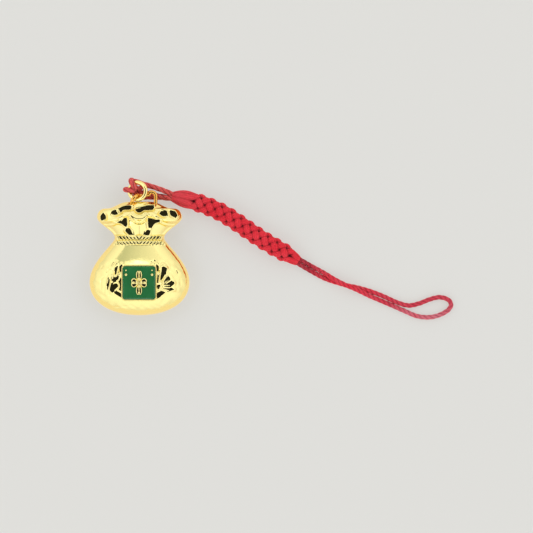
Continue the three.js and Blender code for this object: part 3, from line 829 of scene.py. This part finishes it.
# engraved lines of leaves and tendrils: start, end, width, depth
strokes = [
    ((2.9, 4.9), (3.75, 5.25), 0.16, 0.08), ((3.75, 5.25), (4.9, 4.5), 0.16, 0.08),
    ((6.1, 5.0), (6.95, 4.55), 0.18, 0.12), ((6.8, 1.35), (7.7, 2.8), 0.14, 0.1),
    ((9.0, 3.25), (9.55, 2.0), 0.2, 0.08), ((-6.8, 4.0), (-6.3, 4.9), 0.18, 0.14),
    ((-8.0, 2.7), (-7.2, 3.5), 0.2, 0.09), ((-9.5, 0.75), (-9.5, -1.75), 0.22, 0.07),
    ((-9.2, 1.1), (-8.7, 1.3), 0.18, 0.1), ((-9.4, 3.6), (-9.2, 3.9), 0.18, 0.1),
    ((-9.4, -5.3), (-6.1, -6.3), 0.2, 0.06), ((-6.1, -6.3), (-2.9, -6.0), 0.2, 0.06),
    ((10.3, 0.8), (10.3, -0.8), 0.2, 0.06),
]
# two crooked waves: share of x and of y in each, its pitch, and how it bends; then where they fade in and out
dents = {
    "height": 0.032, "first": (0.9, 0.5), "firstPitch": 1.9, "bend": 1.5, "bendPitch": 3.1,
    "second": (0.4, -1), "secondPitch": 2.47, "secondBend": 2,
    "beside": (4.0, 5.4), "below": (-6, -4.8), "foot": (-7.6, -6.1), "head": (4.6, 6.1),
}


def bagProfile(inset, frontInset, rows):
    # up one side of the bag: a cubic curve between each two stations, for half width, rise and thicknesses
    def setIn(size, by):
        return max(size - by, 0) if size > 0 else 0

    moves = {"across": np.array((1, 0, 1, 1)), "along": np.array((0, 1, 0, 0))}
    sizes = [
        np.array((setIn(half, inset), rise + pull * inset, setIn(front, frontInset), setIn(back, inset)))
        for turn, half, rise, front, back, handles, pull in bag["stations"]
    ]
    spans = []
    for k, count in enumerate(rows):
        here, there = bag["stations"][k], bag["stations"][k + 1]
        gap = sizes[k + 1] - sizes[k]
        leave = sizes[k] + moves[here[0]] * here[5][1] * gap
        arrive = sizes[k + 1] - moves[there[0]] * there[5][0] * gap
        t = np.linspace(0, 1, count + 1)[0 if k == 0 else 1 :, None]
        spans.append(
            (1 - t) ** 3 * sizes[k]
            + 3 * (1 - t) ** 2 * t * leave
            + 3 * (1 - t) * t**2 * arrive
            + t**3 * sizes[k + 1]
        )
    return np.vstack(spans)


def bellyHeight(x, y):
    # the plain belly's height at a place, from the bag's profile up to the neck
    profile = bagProfile(0, 0, bag["bellyRows"])
    half = np.interp(y, profile[:, 1], profile[:, 0])
    front = np.interp(y, profile[:, 1], profile[:, 2])
    return bag["seam"] + front * np.sqrt(np.clip(1 - (x / half) ** 2, 0, 1))


def lipLine(x):
    # the mouth's front lip: two crests with a dip between them, falling off to the corners
    off = np.abs(x) - lip["crestSide"]
    width = np.where(off < 0, lip["crestInner"], lip["crestOuter"])
    foot = np.where(off < 0, lip["dipRise"], lip["cornerRise"])
    return foot + (lip["crestRise"] - foot) * hump(off, width)


def lipRelief(x, y):
    # the lip's roll, and the thinner hem below it
    above = y - lipLine(x)
    hem = lip["hemStand"] * hump(above + lip["hemDrop"], lip["hemWidth"])
    return lip["rollStand"] * hump(above, lip["rollWidth"]) + hem


def ropeRelief(x, y):
    # two cords tied round the neck: a flattened round each, of slanting flat-topped strands that mirror at
    # the middle; each strand's top is turned level against the slope of the neck under it
    height = np.zeros_like(x)
    across = np.clip(np.abs(x) / neckTie["halfWidth"], 0, neckTie["steepest"])
    slope = neckTie["front"] / neckTie["halfWidth"] * across / np.sqrt(1 - across**2)
    for rise, fall in neckTie["cords"]:
        off = (y - rise) / neckTie["radius"]
        body = np.sqrt(np.clip(1 - np.abs(off) ** 4, 0, None))
        share = (np.abs(x) / neckTie["pitch"] - neckTie["slant"] * off) % 1 - 0.5
        level = slope * neckTie["pitch"] * (share + neckTie["slant"] * off) + fall * (y - rise)
        strand = level - neckTie["groove"] * np.abs(2 * share) ** 4
        height = height + body * (neckTie["stand"] + strand)
    return height


def panelRelief(x, y):
    # gathers above the tie: a V-shaped panel with a middle crease, and a slope away from its edges
    up = np.clip((y - panel["footRise"]) / (panel["headRise"] - panel["footRise"]), 0, panel["widest"])
    edge = panel["footSide"] + (panel["headSide"] - panel["footSide"]) * up
    across = np.abs(x)
    inside = -panel["crease"] + (panel["edge"] + panel["crease"]) * across / edge
    beyond = np.clip(across - edge, 0, None)
    outside = panel["edge"] * np.exp(-beyond / panel["fall"]) - panel["lean"] * beyond
    tilt = panel["tilt"] * (y - panel["footRise"]) * np.exp(-beyond / panel["fall"])
    height = np.where(across < edge, inside, outside) + tilt
    above = y - lipLine(x)
    return height * ease(y, *panel["begins"]) * (1 - ease(above, *panel["ends"]))


def pressed(x, y, z):
    # inside each hollow the surface is level, and a short wall joins it to what lies round it; distance is a
    # soft greatest of the distances beyond the hollow's sides, less than nothing inside
    for level, corners in hollows:
        points = np.array(corners) * (gathers["halfWidth"], gathers["rise"]) + (0, gathers["foot"])
        following = np.roll(points, -1, axis=0)
        turn = np.sign(np.sum(points[:, 0] * following[:, 1] - points[:, 1] * following[:, 0]))
        outward = turn * unit((following - points)[:, ::-1] * (1, -1))
        aside = (x[..., None] - points[:, 0]) * outward[:, 0]
        beyond = aside + (y[..., None] - points[:, 1]) * outward[:, 1]
        distance = np.log(np.sum(np.exp(gathers["round"] * beyond), -1)) / gathers["round"] - gathers["grown"]
        floor = bag["seam"] + level * gathers["front"]
        z = z + (1 - np.clip(distance / gathers["wall"], 0, 1)) * (floor - z)
    return z


def flowers(x, y, z):
    # distance is that of a rounded oblong, less than nothing inside; a thin raised edge runs round each flat
    plain, edge, cut = z, 0, []
    for px, py, direction, halfLength, halfWidth, widening in flats:
        c, s = math.cos(math.radians(direction)), math.sin(math.radians(direction))
        along = ((x - px) * c + (y - py) * s) / halfLength
        aside = ((y - py) * c - (x - px) * s) / (halfWidth * (1 + widening * np.clip(along, -1, 1)))
        distance = ((along**4 + aside**4) ** 0.25 - 1) * halfWidth
        edge = np.maximum(edge, hump(distance - carving["rimOut"], carving["rimWidth"]))
        floor = plain + carving["level"] * (bellyHeight(px, py) - plain) - carving["sink"]
        cut.append((1 - ease(distance, 0, carving["wall"]), floor))
    z = z + carving["rim"] * edge
    for share, floor in cut:
        z = z + share * (floor - z)
    return z


def strokeRelief(x, y):
    height = np.zeros_like(x)
    for start, end, width, depth in strokes:
        height = height - depth * hump(segmentDistance(x, y, start, end), width)
    return height


def dentRelief(x, y):
    # soft unevenness round the flowers: two crooked waves, strongest beside the plaque
    def wave(way, pitch, bend):
        return np.sin(2 * np.pi * (way[0] * x + way[1] * y) / pitch + bend)

    crooked = dents["bend"] * np.sin(2 * np.pi * y / dents["bendPitch"])
    waves = wave(dents["first"], dents["firstPitch"], crooked)
    waves = waves + wave(dents["second"], dents["secondPitch"], dents["secondBend"] * np.sin(x))
    place = np.maximum(ease(np.abs(x), *dents["beside"]), 1 - ease(y, *dents["below"]))
    return dents["height"] * waves * place * ease(y, *dents["foot"]) * (1 - ease(y, *dents["head"]))


def carvedFront(x, y, z, swell):
    fade = ease(swell, *bag["carved"])
    z = flowers(x, y, z + fade * dentRelief(x, y))
    z = z + fade * (lipRelief(x, y) + ropeRelief(x, y) + panelRelief(x, y) + strokeRelief(x, y))
    return pressed(x, y, z)


def carvedBack(x, y, z, swell):
    # behind, the tie runs on round the neck and soft folds fall from the mouth
    folds = backFolds["height"] * np.cos(2 * np.pi * x / backFolds["pitch"])
    folds = folds * ease(y, *backFolds["begins"]) * (1 - ease(y, *backFolds["ends"]))
    return z - (ropeRelief(x, y) + folds) * ease(swell, *bag["carved"])


def bagHalf(name, up, nodes):
    # outer wall: x = half width * sin(angle), z = seam +- thickness * cos(angle), up being 1 in front and -1
    # behind; then the carving, the inner wall, and the rim between them on the seam
    column = 2 if up > 0 else 3
    walls, marks = [], []
    sheets = ((0, 0, bag["columns"]), (bag["wall"], bag["frontWall"], bag["innerColumns"]))
    for inset, frontInset, columns in sheets:
        profile = bagProfile(inset, frontInset, bag["rows"])
        angle = (np.arange(columns + 1) / columns - 0.5)[None] * np.pi
        x = profile[:, :1] * np.sin(angle)
        y = profile[:, 1:2] + 0 * x
        swell = np.cos(angle) + 0 * x
        plain = bag["seam"] + up * profile[:, column, None] * swell
        z = plain
        if inset == 0:
            z = carvedFront(x, y, z, swell) if up > 0 else carvedBack(x, y, z, swell)
        z = np.maximum(z, inset)
        z[:, [0, -1]] = bag["seam"]
        walls.append(np.stack([x, y, z], -1))
        shade = bag["hollowShade"] * ease(up * (plain - z), *bag["hollowDepth"])
        marks.append(shade if inset == 0 else 0 * z)
    vertices, values, quads, triangles, edges, count = [], [], [], [], [], 0
    for wall, mark in zip(walls, marks):
        rows, columns = wall.shape[0] - 2, wall.shape[1]
        vertices += [wall[1:-1].reshape(-1, 3), wall[0, :1], wall[-1, :1]]
        values += [mark[1:-1].ravel(), [0, 0]]
        bottom, top = count + rows * columns, count + rows * columns + 1
        quads.append(gridQuads(rows, columns, False, count))
        triangles.append(fan(bottom, count + np.arange(columns)))
        triangles.append(fan(top, count + (rows - 1) * columns + np.arange(columns)))
        lines = count + np.arange(rows) * columns
        edges.append([np.concatenate([[bottom], line, [top]]) for line in (lines, lines + columns - 1)])
        count = top + 1
    for outer, inner in zip(edges[0], edges[1]):
        quads.append(np.stack([outer[:-1], outer[1:], inner[1:], inner[:-1]], -1))
    addPiece(
        name, np.vstack(vertices), [np.vstack(quads), np.vstack(triangles)], carvedGold, "charm",
        nodes, marks={"hollow": np.concatenate(values)},
    )


bagHalf("bagFront", 1, ["front_shell"])
bagHalf("bagBack", -1, ["back_shell"])
print("bag made")


# Plaque: tray, enamel, ornament

plaque = {
    "width": 8.8, "height": 8.9, "rise": -0.15, "corner": 1.0, "leastCorner": 0.1, "rim": 0.3, "top": 10.25,
    "pocket": 9.85, "under": 9.3, "arc": 12, "edge": 12,
    # the outer wall's foot and the ring above it: how far out, and how high over the belly
    "wall": ((0.12, -0.12), (0.02, 0.12)),
    # over the rim: how far in, and how far below the top
    "overRim": ((0.02, 0.14), (0.05, 0.05), (0.1, 0.01), (0.15, 0), (0.2, 0.01), (0.25, 0.05), (0.29, 0.12)),
}
enamel = {
    "gap": 0.02, "base": 9.87, "level": 10.11, "climb": 0.09, "climbFrom": 0.84, "roll": 0.04,
    "rollFrom": 0.97,
    # shares of the pool's outline, from its edge to its middle, and how many rings
    "rings": ((0.985, 0.8, 12), (0.72, 0.08, 9)),
}
ornament = {
    "halfWidth": 2.1, "halfHeight": 3.2, "base": 10.1, "stand": 0.34, "peak": 0.05, "angles": 240,
    "rings": 22, "innermost": 0.05, "waist": 0.34, "petal": 0.8, "notch": 0.09, "notchWidth": 0.09,
    "shoulder": 0.45, "vein": 0.16, "veinWidth": 0.05, "veinBegins": (0.3, 0.4), "veinEnds": (0.8, 0.95),
    "parting": 0.2, "partingWidth": 0.1, "partingBegins": (0.3, 0.5),
    # the boss in the middle and the groove round it: height, share of the way out, width
    "boss": ((0.12, 0.12, 0.12), (-0.16, 0.3, 0.06)),
}
pips = {
    "sides": 24, "rows": 9, "dome": 0.75,
    # in the upper corners: size, to the side, up, radius
    "places": (("Small", 3.25, 3.1, 0.2), ("Large", 3.25, 2.0, 0.34)),
}


def roundedLine(inset):
    # the plaque's outline set in: a rectangle with round corners, as points in order round it
    corner = max(plaque["corner"] - inset, plaque["leastCorner"])
    reach = np.array((plaque["width"], plaque["height"])) / 2 - inset - corner
    turns = np.linspace(0, np.pi / 2, plaque["arc"])
    steps = np.linspace(0, 1, plaque["edge"])[1:-1, None]
    arcs = []
    for sx, sy, start in ((1, -1, -np.pi / 2), (1, 1, 0), (-1, 1, np.pi / 2), (-1, -1, np.pi)):
        circle = np.stack([np.cos(turns + start), np.sin(turns + start)], -1)
        arcs.append((sx, sy) * reach + corner * circle)
    parts = []
    for arc, following in zip(arcs, arcs[1:] + arcs[:1]):
        parts += [arc, arc[-1] + steps * (following[0] - arc[-1])]
    return np.vstack(parts)


def raised(line, height):
    # points of a line drawn about the plaque's middle, set at a height
    return np.column_stack([line + (0, plaque["rise"]), np.broadcast_to(height, len(line))])


def stackedRings(name, rings, low, high, material, nodes, middle=(0, 0)):
    # closed rings of points one after another, with a middle point under the first and one over the last
    ends = [raised(np.array([middle]), height) for height in (low, high)]
    faces = tubeFaces(len(rings), len(rings[0]))
    addPiece(name, np.vstack(rings + ends), faces, material, "charm", nodes)


def trayRings():
    # section of the tray from its foot on the belly, up the outer wall, over the rim and down into the pocket
    rings = []
    for outward, above in plaque["wall"]:
        line = roundedLine(-outward)
        rings.append(raised(line, bellyHeight(line[:, 0], line[:, 1] + plaque["rise"]) + above))
    rings += [raised(roundedLine(inset), plaque["top"] - drop) for inset, drop in plaque["overRim"]]
    return rings + [raised(roundedLine(plaque["rim"]), plaque["pocket"])]


def enamelRings():
    # a shallow pool that creeps up where it meets the rim
    edge = roundedLine(plaque["rim"] + enamel["gap"])
    rings = [raised(edge, enamel["base"])]
    for share in np.concatenate([[1], *(np.linspace(*span) for span in enamel["rings"])]):
        climb = enamel["climb"] * ease(share, enamel["climbFrom"], 1) ** 2
        roll = enamel["roll"] * ease(share, enamel["rollFrom"], 1)
        rings.append(raised(edge * share, enamel["level"] + climb - roll))
    return rings


def ornamentRings():
    # flower diamond: four petals, longest up and down, each with a notched tip, a vein and a soft crown
    turn = evenTurns(ornament["angles"])
    fromAxis = np.abs((2 * turn / np.pi + 0.5) % 1 - 0.5)
    petals = (1 - ornament["waist"]) * np.abs(np.cos(2 * turn)) ** ornament["petal"]
    outline = ornament["waist"] + petals - ornament["notch"] * hump(fromAxis, ornament["notchWidth"])
    shape = np.stack([ornament["halfWidth"] * np.cos(turn), ornament["halfHeight"] * np.sin(turn)], -1)
    shape = outline[:, None] * shape
    vein = ornament["vein"] * hump(fromAxis, ornament["veinWidth"])
    parting = ornament["parting"] * hump(fromAxis - 0.5, ornament["partingWidth"])
    rings = [raised(shape, ornament["base"])]
    for share in np.linspace(1, ornament["innermost"], ornament["rings"]):
        crown = ornament["shoulder"] + (1 - ornament["shoulder"]) * np.sqrt(np.clip(1 - share**4, 0, 1))
        veined = vein * ease(share, *ornament["veinBegins"]) * (1 - ease(share, *ornament["veinEnds"]))
        parted = parting * ease(share, *ornament["partingBegins"])
        boss = sum(height * hump(share - place, width) for height, place, width in ornament["boss"])
        height = ornament["base"] + ornament["stand"] * crown - veined - parted + boss
        rings.append(raised(share * shape, height))
    return rings


def pipRings(x, y, radius):
    # a small round-headed stud
    turn = evenTurns(pips["sides"])
    circle = radius * np.stack([np.cos(turn), np.sin(turn)], -1)
    lifts = np.linspace(0, np.pi / 2, pips["rows"])[:-1]
    dome = pips["dome"] * radius
    return [raised((x, y) + math.cos(a) * circle, ornament["base"] + dome * math.sin(a)) for a in lifts]


stackedRings(
    "plaqueTray", trayRings(), plaque["under"], plaque["pocket"], plainGold, ["plaque_tray"]
)
stackedRings(
    "enamelPool", enamelRings(), enamel["base"], enamel["level"], greenEnamel, ["enamel_panel"]
)
ornamentTop = ornament["base"] + ornament["stand"] + ornament["peak"]
stackedRings(
    "plaqueOrnament", ornamentRings(), ornament["base"], ornamentTop, plainGold, ["plaque_motif"]
)
for side, hand in ((-1, "Left"), (1, "Right")):
    for size, px, py, radius in pips["places"]:
        stackedRings(
            "pip" + size + hand, pipRings(side * px, py, radius), ornament["base"],
            ornament["base"] + pips["dome"] * radius, plainGold, (), (side * px, py),
        )
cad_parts["prayer_slip"].data.materials.clear()
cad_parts["prayer_slip"].data.materials.append(slipPaper)
print("plaque made")


# Table and light: a bright room all round, a darker patch overhead and a greyer screen beyond the bag's mouth

studio = {
    "floor": (0.22, 0.22, 0.215, 1),
    "glow": (0.484, 0.478, 0.454, 1),
    "glowInGold": (0.73, 0.615, 0.49, 1),
    "floorSize": 3000,
    "tableDrop": 0.02,
    "strength": 4.45,
    "strengthInGold": 3.48,
    # the patch's middle, then the share of the bright room by the cosine of the angle from it
    "overhead": (0, -0.105, 0.9945),
    "room": (
        (0, 0.245), (0.25, 0.29), (0.6, 0.345), (0.79, 0.345), (0.825, 0.42), (0.84, 0.62), (0.862, 0.62),
        (0.872, 0.15), (0.88, 0.012), (1, 0.005),
    ),
    # the screen's middle, its shape from side to side, the cosines where it ends and where it is full, the
    # stretch from left to right over which it fades, what is left of it at the right, and its tone
    "screen": {
        "middle": (0, 0.616, 0.788), "wide": 0.27, "span": (0.982, 0.989), "fade": (-0.4, 0.5), "left": 0.2,
        "tone": (0.5, 0.55, 0.52, 1),
    },
}


def addTable(setup):
    # the table gives back more light to the polished gold than to the camera
    half = setup["floorSize"] / 2 * mm
    corners = [(-half, -half, 0), (half, -half, 0), (half, half, 0), (-half, half, 0)]
    mesh = bpy.data.meshes.new("tableTop")
    mesh.from_pydata(corners, [], [(0, 1, 2, 3)])
    material, nodes, links, shader = newMaterial("paleTable")
    setInputs(shader, {"Base Color": setup["floor"], "Roughness": 0.9, "Specular IOR Level": 0.1})
    setInputs(shader, {"Emission Strength": 1})
    path = addNode(nodes, "ShaderNodeLightPath")
    glow = addNode(nodes, "ShaderNodeMix", data_type="RGBA", A=setup["glowInGold"], B=setup["glow"])
    join(links, (path, "Is Camera Ray", glow, "Factor"), (glow, "Result", shader, "Emission Color"))
    mesh.materials.append(material)
    table = bpy.data.objects.new("tableTop", mesh)
    table.location.z = -setup["tableDrop"] * mm
    scene.collection.objects.link(table)


def addRoom(setup):
    world = bpy.data.worlds.new("brightRoom")
    world.use_nodes = True
    nodes, screen = world.node_tree.nodes, setup["screen"]
    place = addNode(nodes, "ShaderNodeTexCoord")
    nearness = addNode(nodes, "ShaderNodeVectorMath", operation="DOT_PRODUCT")
    narrow = addNode(nodes, "ShaderNodeVectorMath", operation="MULTIPLY")
    narrowed = addNode(nodes, "ShaderNodeVectorMath", operation="NORMALIZE")
    toScreen = addNode(nodes, "ShaderNodeVectorMath", operation="DOT_PRODUCT")
    setInputs(nearness, {1: setup["overhead"]})
    setInputs(narrow, {1: (screen["wide"], 1, 1)})
    setInputs(toScreen, {1: screen["middle"]})
    ramp = addRamp(nodes, [(cosine, (share, share, share, 1)) for cosine, share in setup["room"]])
    edge = addRange(nodes, screen["span"], interpolation_type="SMOOTHSTEP")
    parts = addNode(nodes, "ShaderNodeSeparateXYZ")
    fade = addRange(nodes, screen["fade"], (1, screen["left"]))
    shade = addMath(nodes, "MULTIPLY")
    screened = addNode(nodes, "ShaderNodeMix", data_type="RGBA", blend_type="MULTIPLY", B=screen["tone"])
    path = addNode(nodes, "ShaderNodeLightPath")
    strength = addRange(nodes, given=(setup["strength"], setup["strengthInGold"]))
    background = nodes["Background"]
    join(
        world.node_tree.links,
        (path, "Is Glossy Ray", strength, "Value"), (strength, "Result", background, "Strength"),
        (place, "Generated", nearness, 0), (nearness, "Value", ramp, "Fac"),
        (place, "Generated", narrow, 0), (narrow, "Vector", narrowed, 0), (narrowed, "Vector", toScreen, 0),
        (toScreen, "Value", edge, "Value"),
        (place, "Generated", parts, "Vector"), (parts, "X", fade, "Value"),
        (edge, "Result", shade, 0), (fade, "Result", shade, 1), (shade, 0, screened, "Factor"),
        (ramp, "Color", screened, "A"), (screened, "Result", background, "Color"),
    )
    scene.world = world


addTable(studio)
addRoom(studio)
scene.view_settings.view_transform = "Standard"
print("table and light set")
